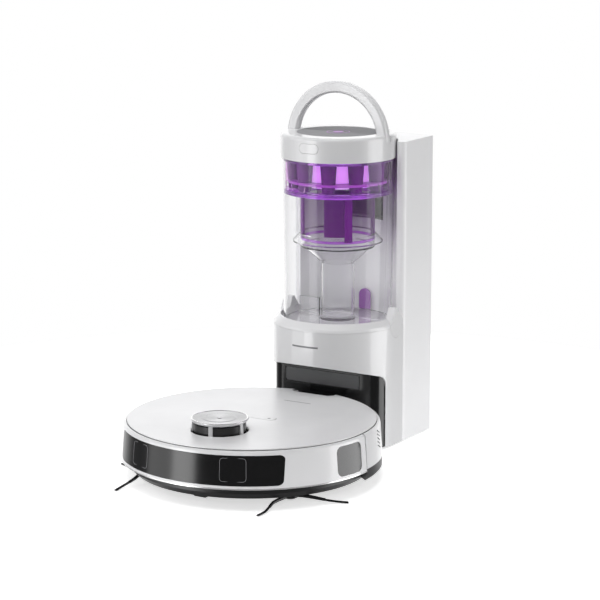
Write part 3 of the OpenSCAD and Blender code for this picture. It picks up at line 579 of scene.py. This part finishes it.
# Width in millimetres of each node's broken edges
BEVELS = {
    "tower_back": 0.4, "front_housing": 0.8, "bay_insert": 0.4, "base_plate": 0.6,
    "dock_seal": 0.8, "battery": 1.5, "dust_box": 0.6, "fan_housing": 0.8,
    "suction_motor": 0.8, "brush_guard": 0.5,
    "wheel_arm_right": 1.0, "wheel_arm_left": 1.0, "caster_fork": 0.6, "caster_wheel": 1.2,
    "floor_latch": 0.8, "lid_button": 0.3, "charge_contacts": 0.6, "charge_pads": 0.4,
    "exhaust_grille": 0.3, "power_inlet": 0.5, "intake_duct": 0.8, "suction_duct": 0.8,
    "brush_motors": 1.0, "bumper_shell": 0.3, "rear_shell": 0.3, "chassis": 0.4,
    "power_board": 0.3,
}
# Nodes whose finish differs a little from their slot's
FINISHES = {"side_windows": "smoked_window", "floor_latch": "purple_mesh",
            "tower_shell": "tower_white"}


def dress_nodes(materials):
    for entry in frame["record"]["subparts"]:
        node = entry["node"]
        finish = FINISHES.get(node, entry["material_slot"])
        dress(node, materials[finish], BEVELS.get(node))


# ---- dust bin ----

# Cyclones: their number, then radii and thicknesses in millimetres
CONES = 10
CONE_RING_R = 60
HEAD_T = 4
SKIRT_R, SKIRT_T = 73.6, 1.2
CORE_R, CORE_T = 50, 3
# Ribs of the mesh filter, in degrees
RIB_TURN, RIB_HALF_ANGLE = 46.6, 6


def make_cyclones(materials, body):
    """Ring of cones behind a clear purple skirt, whose foot rises between them."""
    low, high = low_z("cyclone_block") / MM, high_z("cyclone_block") / MM
    cone_low, notch_low, cone_high = low + 6.5, low + 19, high - HEAD_T
    skirt_high, inner_r = high - 3.5, SKIRT_R - SKIRT_T
    pitch = 360 / CONES
    # Height of the skirt's foot along one pitch, from notch to notch
    shape = ((0, notch_low), (0.17, notch_low), (0.24, cone_low + 1), (0.28, cone_low),
             (0.72, cone_low), (0.76, cone_low + 1), (0.83, notch_low))
    rows = []
    for i in range(CONES):
        for (start, foot), (end, next_foot) in zip(shape, shape[1:] + ((1, notch_low),)):
            for k in range(4):
                t = k / 4
                angle = math.radians((i + start + (end - start) * t) * pitch)
                rows.append((angle, foot + (next_foot - foot) * t))
    form = bmesh.new()
    rings = []
    for angle, foot in rows:
        corners = ((SKIRT_R, foot), (SKIRT_R, skirt_high), (inner_r, skirt_high),
                   (inner_r, foot))
        rings.append([form.verts.new(BIN + outward(angle) * r * MM + Vector((0, 0, z * MM)))
                      for r, z in corners])
    for i, near in enumerate(rings):
        far = rings[(i + 1) % len(rings)]
        for k in range(4):
            form.faces.new((near[k], near[(k + 1) % 4], far[(k + 1) % 4], far[k]))
    finish_piece("cyclone_skirt", form, materials["purple_skirt"], body, ["cyclone_block"],
                 50)
    for i in range(CONES):
        centre = BIN + outward(math.radians((i + 0.5) * pitch)) * CONE_RING_R * MM
        cone = rounded([(11.4, cone_high, 0.4), (10, cone_high, 0.4), (6.6, cone_low + 1, 0.4),
                        (2.6, cone_low + 1, 0.4), (2.6, cone_low, 0.3), (8.6, cone_low, 1.6)])
        finish_piece(f"cyclone_cone_{i + 1:02d}", revolve_form(cone, centre, steps=48),
                     materials["purple_deep"], body)
    core = rounded([(CORE_R - CORE_T, cone_low + 4, 0.5), (CORE_R, cone_low + 4, 0.8),
                    (CORE_R, cone_high, 0.5), (CORE_R - CORE_T, cone_high, 0.5)])
    # The core's material glows: painted light for the backlit purple between the cones
    finish_piece("cyclone_core", revolve_form(core, BIN), materials["purple_core_painted_light"], body)
    lip = rounded([(CORE_R, notch_low - 3.5, 0.4), (70, notch_low - 3.5, 0.6),
                   (70, notch_low, 0.6), (CORE_R, notch_low, 0.4)])
    finish_piece("cyclone_lip", revolve_form(lip, BIN), materials["purple_mesh"], body)
    rim = rounded([(52, low, 0.5), (74.4, low, 0.8), (75.6, low + 1.4, 0.8),
                   (74.2, low + 2.6, 0.5), (75.2, low + 4.2, 0.8), (73.0, low + 5.6, 1.0),
                   (52, low + 4.4, 0.5)])
    finish_piece("cyclone_rim", revolve_form(rim, BIN), materials["purple_clear"], body)
    head = rounded([(32, cone_high, 0.6), (76.2, cone_high, 0.8), (76.2, high, 0.5),
                    (32, high, 0.6)])
    finish_piece("cyclone_plate", revolve_form(head, BIN), materials["purple_clear"], body)


def make_mesh_filter(materials, body):
    """Cylinder of diamond holes between two bands, with four solid ribs and an inner tube."""
    low, high = low_z("mesh_filter") / MM, high_z("mesh_filter") / MM
    radius = half_width("mesh_filter") / MM
    # Holes round and up, half a strand's width, the wall's thickness and the bands' height
    columns, rows = 76, 15
    strand, wall, band = 0.36, 0.6, 3.2
    step_z = (high - low - 2 * band) / rows
    form = bmesh.new()
    grid = {}

    def corner(i, j):
        key = (i % (2 * columns), j)
        if key not in grid:
            height = Vector((0, 0, (low + band + j * step_z / 2) * MM))
            grid[key] = form.verts.new(
                BIN + outward(math.pi * key[0] / columns) * radius * MM + height)
        return grid[key]

    for j in range(1, 2 * rows):
        for i in range(j % 2, 2 * columns, 2):
            form.faces.new((corner(i - 1, j), corner(i, j - 1), corner(i + 1, j),
                            corner(i, j + 1)))
    cells = list(form.faces)
    bmesh.ops.inset_individual(form, faces=cells, thickness=strand * MM)
    bmesh.ops.delete(form, geom=cells, context="FACES")
    sheet = finish_piece("mesh_screen", form, materials["purple_mesh"], body,
                         ["mesh_filter"], 60)
    thick = sheet.modifiers.new("thickness", "SOLIDIFY")
    thick.thickness = wall * MM
    for name, z0, z1 in (("mesh_foot", low, low + band + 0.4), ("mesh_head", high - 4, high)):
        ring = rounded([(radius - 2.0, z0, 0.4), (radius + 0.5, z0, 0.7),
                        (radius + 0.5, z1, 0.7), (radius - 2.0, z1, 0.4)])
        finish_piece(name, revolve_form(ring, BIN), materials["purple_clear"], body)
    for i in range(4):
        middle = RIB_TURN + 90 * i
        rib = rounded([(radius - 2.2, low + 2, 0.4), (radius + 0.7, low + 2, 0.7),
                       (radius + 0.7, high - 2, 0.7), (radius - 2.2, high - 2, 0.4)])
        form = revolve_form(rib, BIN, middle - RIB_HALF_ANGLE, middle + RIB_HALF_ANGLE, 10)
        finish_piece(f"mesh_rib_{i + 1}", form, materials["purple_deep"], body)
    tube = rounded([(18, low + 1, 0.4), (19.6, low + 1, 0.4), (19.6, high - 1, 0.4),
                    (18, high - 1, 0.4)])
    finish_piece("mesh_inner_tube", revolve_form(tube, BIN, steps=72),
                 materials["purple_deep"], body)


def make_lid_top(materials, body):
    """Satin disc let into the lid, with a plain ring and dot in place of print."""
    # The recess in the lid's top is 0.8 mm deep
    top = high_z("bin_lid") / MM - 0.8
    disc = rounded([(AXIS, top - 0.2, 0), (57.6, top - 0.2, 0.1), (57.2, top + 0.3, 0.3),
                    (AXIS, top + 0.3, 0)])
    finish_piece("lid_disc", revolve_form(disc, BIN), materials["lid_disc_grey"], body)
    for name, inner, outer in (("lid_ring_mark", 15.0, 16.2), ("lid_dot_mark", AXIS, 7.5)):
        mark = rounded([(inner, top + 0.2, 0), (outer, top + 0.2, 0), (outer, top + 0.5, 0.1),
                        (inner, top + 0.5, 0)])
        finish_piece(name, revolve_form(mark, BIN, steps=72), materials["purple_mesh"], body)


# ---- robot ----

def plate(name, outlines, low, high, edge, material, body, replaced=()):
    """Flat plate with holes and rounded edges, from closed outlines about the robot's middle."""
    data = bpy.data.curves.new(name + "_outline", "CURVE")
    data.dimensions = "2D"
    data.fill_mode = "BOTH"
    data.extrude = (high - low) / 2 * MM - edge * MM
    data.bevel_depth = edge * MM
    data.bevel_resolution = 3
    data.offset = -edge * MM
    for outline in outlines:
        spline = data.splines.new("POLY")
        spline.points.add(len(outline) - 1)
        for point, place in zip(spline.points, outline):
            point.co = (place[0] * MM, place[1] * MM, 0, 1)
        spline.use_cyclic_u = True
    curve = bpy.data.objects.new(name + "_outline", data)
    bpy.context.collection.objects.link(curve)
    bpy.context.view_layer.update()
    depth = bpy.context.evaluated_depsgraph_get()
    mesh = bpy.data.meshes.new_from_object(curve.evaluated_get(depth))
    bpy.data.objects.remove(curve)
    bpy.data.curves.remove(data)
    form = bmesh.new()
    form.from_mesh(mesh)
    bpy.data.meshes.remove(mesh)
    bmesh.ops.remove_doubles(form, verts=form.verts, dist=WELD)
    middle = Matrix.Translation((ROBOT.x, ROBOT.y, (low + high) / 2 * MM))
    bmesh.ops.transform(form, matrix=middle, verts=form.verts)
    even_faces(finish_piece(name, form, material, body, replaced, 60), True)


# The control button's middle, in millimetres from the robot's
BUTTON = Vector((0, 3))
# Pegs under the cover, in millimetres
PEG_RING_R, PEG_LOW, PEG_HIGH = 140, 74.2, 79
# Posts of the turret: their number and their angles in degrees
POSTS, POST_TURN, POST_HALF_ANGLE = 5, 14, 4.5


def make_cover(materials):
    """Pearl disc with the turret's hole, the button's seat and the finger notch."""
    top = high_z("top_cover") / MM
    edge_r = half_width("top_cover") / MM
    turret_y = (TURRET.y - ROBOT.y) / MM
    notch_x = 33
    notch = math.degrees(math.asin(notch_x / edge_r))
    outer = arc((0, 0), edge_r, -180 + notch, 180 - notch, 240)
    outer += [Vector((notch_x, 157)), Vector((27, 151)), Vector((-27, 151)),
              Vector((-notch_x, 157))]
    hole = arc((0, turret_y), 40.3, 0, 357, 119)
    seat = pill(69.6, 15.6, 7.6, BUTTON)
    plate("cover_disc", [outer, hole, seat], top - 1.6, top, 0.45, materials["pearl_cover"],
          "cover", ["top_cover"])
    # Dark ring under the gap round the button's seat: painted shade in that gap
    gap_ring = [pill(72, 18, 8.8, BUTTON), pill(41, 9, 4.4, BUTTON)]
    plate("button_gap_shade", gap_ring, top - 2.6, top - 1.0, 0.2, materials["painted_gap_shade"],
          "cover")
    # Dark ring under the cover's edge, painted shade in the seam there, and the collar that closes
    # the gap round the turret
    seam = rounded([(edge_r - 2.5, top - 1.8, 0.05), (edge_r - 0.2, top - 1.8, 0.05),
                    (edge_r - 0.1, top - 1.5, 0.05), (edge_r - 2.5, top - 1.5, 0.05)])
    finish_piece("cover_edge_shade", revolve_form(seam, ROBOT, -168, 168, 200),
                 materials["painted_gap_shade"], "cover")
    collar = rounded([(37.4, top - 2.8, 0.3), (39.8, top - 2.8, 0.3), (41.0, top - 1.2, 0.3),
                      (41.0, top + 0.12, 0.3), (38.6, top - 0.1, 1.2), (37.4, top - 1.4, 0.6)])
    finish_piece("turret_collar", revolve_form(collar, TURRET, steps=160),
                 materials["pearl_cover"], "cover")
    peg = rounded([(1.4, PEG_LOW, 0.3), (4, PEG_LOW, 0.6), (4, PEG_HIGH, 0.1),
                   (1.4, PEG_HIGH, 0.1)])
    for k in range(4):
        centre = ROBOT + outward(math.radians(45 + 90 * k)) * PEG_RING_R * MM
        finish_piece(f"cover_peg_{k + 1}", revolve_form(peg, centre, steps=28),
                     materials["pearl_cover"], "cover")
    # Short plain bar in place of a name
    plate("cover_bar_mark", [pill(42, 1.6, 0.79, (9.5, 100))], top - 0.05, top + 0.07, 0.02,
          materials["soft_grey"], "cover")


def make_button(materials):
    """Button with a plain ring at one end and a plain dot at the other."""
    top = high_z("control_button") / MM
    plate("button_cap", [pill(68, 14, 6.9, BUTTON)], top - 1.2, top, 0.3,
          materials["pearl_cover"], "controls", ["control_button"])
    plate("button_stem", [pill(39.2, 7.2, 3.5, BUTTON)], low_z("control_button") / MM,
          top - 1, 0.3, materials["pearl_cover"], "controls")
    for name, x, radii in (("ring", -25, (3.2, 2.5)), ("dot", 25, (2.2,))):
        outlines = [arc(BUTTON + Vector((x, 0)), r, 0, 350, 35) for r in radii]
        plate(f"button_{name}_mark", outlines, top - 0.05, top + 0.06, 0.02,
              materials["soft_grey"], "controls")


def make_turret(materials):
    """Spun disc in a bright rim, on a white band and five posts."""
    low = low_z("turret_cap") / MM
    top = high_z("turret_cap") / MM
    radius = half_width("turret_cap") / MM
    disc = rounded([(AXIS, top - 2.2, 0), (radius - 3.2, top - 2.2, 0),
                    (radius - 3.0, top - 0.5, 0.2), (radius * 0.60, top - 1.45, 0.8),
                    (radius * 0.54, top - 0.95, 0.6), (3.4, top - 1.6, 1), (2.4, top - 1.1, 0.4),
                    (AXIS, top - 1.1, 0)])
    finish_piece("turret_disc", revolve_form(disc, TURRET, steps=180),
                 materials["brushed_cap"], "turret", ["turret_cap"])
    rim = rounded([(radius - 3.2, top - 2.4, 0.2), (radius - 3.1, top - 0.4, 0.3),
                   (radius - 2.4, top, 0.5), (radius - 1.0, top - 0.15, 0.7),
                   (radius - 0.1, top - 1.2, 0.6), (radius - 0.6, top - 1.9, 0.2),
                   (radius - 0.8, top - 2.5, 0.2)])
    finish_piece("turret_rim", revolve_form(rim, TURRET, steps=180),
                 materials["silver_line"], "turret")
    band = rounded([(0.5, top - 5.2, 0), (radius - 4.6, top - 5.2, 0.4),
                    (radius - 2.2, top - 4.4, 1.0), (radius - 0.5, top - 2.5, 0.4),
                    (0.5, top - 2.3, 0)])
    finish_piece("turret_band", revolve_form(band, TURRET, steps=180),
                 materials["white_shell"], "turret")
    post = rounded([(34.8, low, 0.3), (36.7, low, 0.6), (36.0, top - 4.4, 0.4),
                    (34.2, top - 4.4, 0.3)])
    for i in range(POSTS):
        middle = POST_TURN + 360 / POSTS * i
        form = revolve_form(post, TURRET, middle - POST_HALF_ANGLE, middle + POST_HALF_ANGLE, 6)
        finish_piece(f"turret_post_{i + 1}", form, materials["white_shell"], "turret")


def make_bumper_details(materials):
    """Silver lip under the bumper, and the two sensor outlines in the front window."""
    low = low_z("bumper_shell") / MM
    r = ROBOT_R / MM
    # The wall's radius where the outlines lie, and how far it leans in per millimetre of height
    wall_r, lean = 172.6, 0.0858
    outline_turn, outline_z = 24.4, 54.5
    lip = rounded([(r - 1.6, low - 0.1, 0.3), (r + 0.25, low - 0.1, 0.4),
                   (r + 0.2, low + 1.7, 0.4), (r - 1.6, low + 1.7, 0.3)])
    finish_piece("bumper_lip", revolve_form(lip, ROBOT, -91, 91, 160),
                 materials["silver_line"], "bumper")
    for side, name in ((-1, "left"), (1, "right")):
        form = bmesh.new()
        points = []
        for p in pill(34, 30, 5):
            angle = math.radians(side * outline_turn) + p[0] / wall_r
            z = outline_z + p[1]
            reach = (r + 0.05 - (z - low) * lean) * MM
            points.append(ROBOT + outward(angle) * reach + Vector((0, 0, z * MM)))
        tube_form(form, points, 0.30 * MM, 6, closed=True)
        finish_piece(f"sensor_outline_{name}", form, materials["soft_grey"], "bumper")


def make_gap_shade_strips(materials):
    """Dark strips behind the seams between bumper and rear shell, and behind the vents: painted
    shade in those gaps.
    """
    # Name, radii, heights, the angles that it spans, and steps
    strips = (("seam", 165.4, 167.2, 34, 76, 90.2, 92.6, 4),
              ("vent", 166, 167.4, 45, 75, 102, 115, 10))
    for side, hand in ((-1, "left"), (1, "right")):
        for name, inner, outer, low, high, start, end, steps in strips:
            strip = rounded([(inner, low, 0.3), (outer, low, 0.3), (outer, high, 0.3),
                             (inner, high, 0.3)])
            form = revolve_form(strip, ROBOT, *sorted((side * start, side * end)), steps)
            finish_piece(f"{name}_shade_strip_{hand}", form, materials["painted_gap_shade"], "robot")


# Where the side brushes turn, in millimetres from the robot's middle
HUB_X, HUB_Y = 112, -85
ARM_TURNS = (28, 148, 268)
# Bristles on each arm, their radius and how far out the longest one ends
BRISTLES, BRISTLE_R, BRISTLE_END = 44, 0.50, 75.4


def make_side_brush(materials, side, node, body):
    """Hub with three kinked rubber roots that end in bundles of bristles."""
    hub = ROBOT + Vector((side * HUB_X, HUB_Y, 0)) * MM
    hub_outline = rounded([(AXIS, 6.6, 0), (7, 6.4, 1), (11, 8.6, 1.5), (11.5, 11.6, 1.0),
                           (9, 14.6, 1.0), (3.0, 15, 0.3), (3.0, 33, 0.4), (AXIS, 33, 0)])
    finish_piece(f"{body}_hub", revolve_form(hub_outline, hub, steps=48),
                 materials["black_plastic"], body, [node])
    form = bmesh.new()
    tufts = bmesh.new()
    for base in ARM_TURNS:
        turn = Matrix.Rotation(math.radians(base), 4, "Z")
        mirror = Matrix.Diagonal((side, 1, 1, 1))
        place = Matrix.Translation((hub.x, hub.y, 0)) @ mirror @ turn
        spine = [Vector(p) * MM for p in ((7, 0, 10.4), (16, -0.8, 10.2), (26, -2.4, 9.2),
                                          (34, -3.4, 8.0), (40, -2.6, 6.6), (45, -1.6, 5.4))]
        tube_form(form, [place @ p for p in spine], 2.7 * MM, 12, taper=0.72)
        for _ in range(BRISTLES):
            spread = random.uniform(-1, 1)
            lift = random.uniform(-1, 1)
            end = BRISTLE_END - random.random() * 3
            path = [(42, -2.2 + spread * 1.0, 6.0 + lift * 0.9),
                    (50, -0.6 + spread * 1.3, 4.2 + lift * 0.9),
                    (58, 0.9 + spread * 1.5, 2.7 + lift * 0.8),
                    (66, 1.0 + spread * 1.7, 2.0 + lift * 0.8),
                    (end, 0.4 + spread * 2.0, 1.7 + lift * 0.8)]
            tube_form(tufts, [place @ (Vector(p) * MM) for p in path], BRISTLE_R * MM, 5,
                      taper=0.7)
    finish_piece(f"{body}_roots", form, materials["bristle"], body)
    finish_piece(f"{body}_bristles", tufts, materials["bristle"], body)


def make_main_brush(materials):
    """Roller on its spindle, with V-shaped rubber fins."""
    low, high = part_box("main_brush")
    y, z = (low[1] + high[1]) / 2, (low[2] + high[2]) / 2
    half, core, spindle_half, spindle_r = 76 * MM, 8.5 * MM, 81.5 * MM, 2.9 * MM
    fin_root, fin_tip = 7.5, 18.9
    steps, sides, blades, twist = 40, 24, 6, math.radians(38)
    form = bmesh.new()
    rings = []
    for i in range(steps + 1):
        x = -half + 2 * half * i / steps
        rings.append([form.verts.new((x, y + math.cos(a) * core, z + math.sin(a) * core))
                      for a in [2 * math.pi * k / sides for k in range(sides)]])
    for i in range(steps):
        for k in range(sides):
            j = (k + 1) % sides
            form.faces.new((rings[i][k], rings[i][j], rings[i + 1][j], rings[i + 1][k]))
    form.faces.new(rings[0])
    form.faces.new(rings[-1])
    tube_form(form, [Vector((-spindle_half, y, z)), Vector((spindle_half, y, z))], spindle_r,
              16)
    finish_piece("roller_core", form, materials["grey_plastic"], "roller_brush",
                 ["main_brush"])
    fins = bmesh.new()
    for b in range(blades):
        rows = []
        for i in range(steps + 1):
            x = -half + 2 * half * i / steps
            a = 2 * math.pi * b / blades + twist * abs(x) / half
            row = []
            for r, offset in ((fin_root, -0.055), (fin_tip, -0.03), (fin_tip, 0.03),
                              (fin_root, 0.055)):
                row.append(fins.verts.new((x, y + math.cos(a + offset) * r * MM,
                                           z + math.sin(a + offset) * r * MM)))
            rows.append(row)
        for i in range(steps):
            for k in range(4):
                j = (k + 1) % 4
                fins.faces.new((rows[i][k], rows[i][j], rows[i + 1][j], rows[i + 1][k]))
        fins.faces.new(rows[0])
        fins.faces.new(rows[-1])
    finish_piece("roller_fins", fins, materials["brush_rubber"], "roller_brush")


# ---- station ----

def make_station_details(materials):
    """Dark panel in the bay and a short plain bar on the housing, in place of a name."""
    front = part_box("bay_insert")[0][1] / MM
    middle = Vector((0, front + 0.9, 96.3)) * MM
    place = Matrix.Translation(middle) @ Matrix.Rotation(math.radians(90), 4, "X")
    form = prism_form(pill(118.6, 19.4, 4), 0.7, place)
    panel = finish_piece("bay_panel", form, materials["panel_grey"], "station")
    edge_bevel(panel, 0.3)
    radius = half_width("front_housing") / MM
    bar_low, bar_high = 148.2, 150.6
    bar = rounded([(radius - 0.1, bar_low, 0), (radius + 0.1, bar_low, 0.05),
                   (radius + 0.1, bar_high, 0.05), (radius - 0.1, bar_high, 0)])
    finish_piece("housing_bar_mark", revolve_form(bar, BIN, -13, 13, 30),
                 materials["soft_grey"], "station")


MATERIALS = make_materials()
make_camera()
make_studio()
dress_nodes(MATERIALS)
make_cyclones(MATERIALS, "dust_bin")
make_mesh_filter(MATERIALS, "dust_bin")
make_lid_top(MATERIALS, "dust_bin")
make_cover(MATERIALS)
make_button(MATERIALS)
make_turret(MATERIALS)
make_bumper_details(MATERIALS)
make_gap_shade_strips(MATERIALS)
make_side_brush(MATERIALS, 1, "side_brush_right", "right_side_brush")
make_side_brush(MATERIALS, -1, "side_brush_left", "left_side_brush")
make_main_brush(MATERIALS)
make_station_details(MATERIALS)
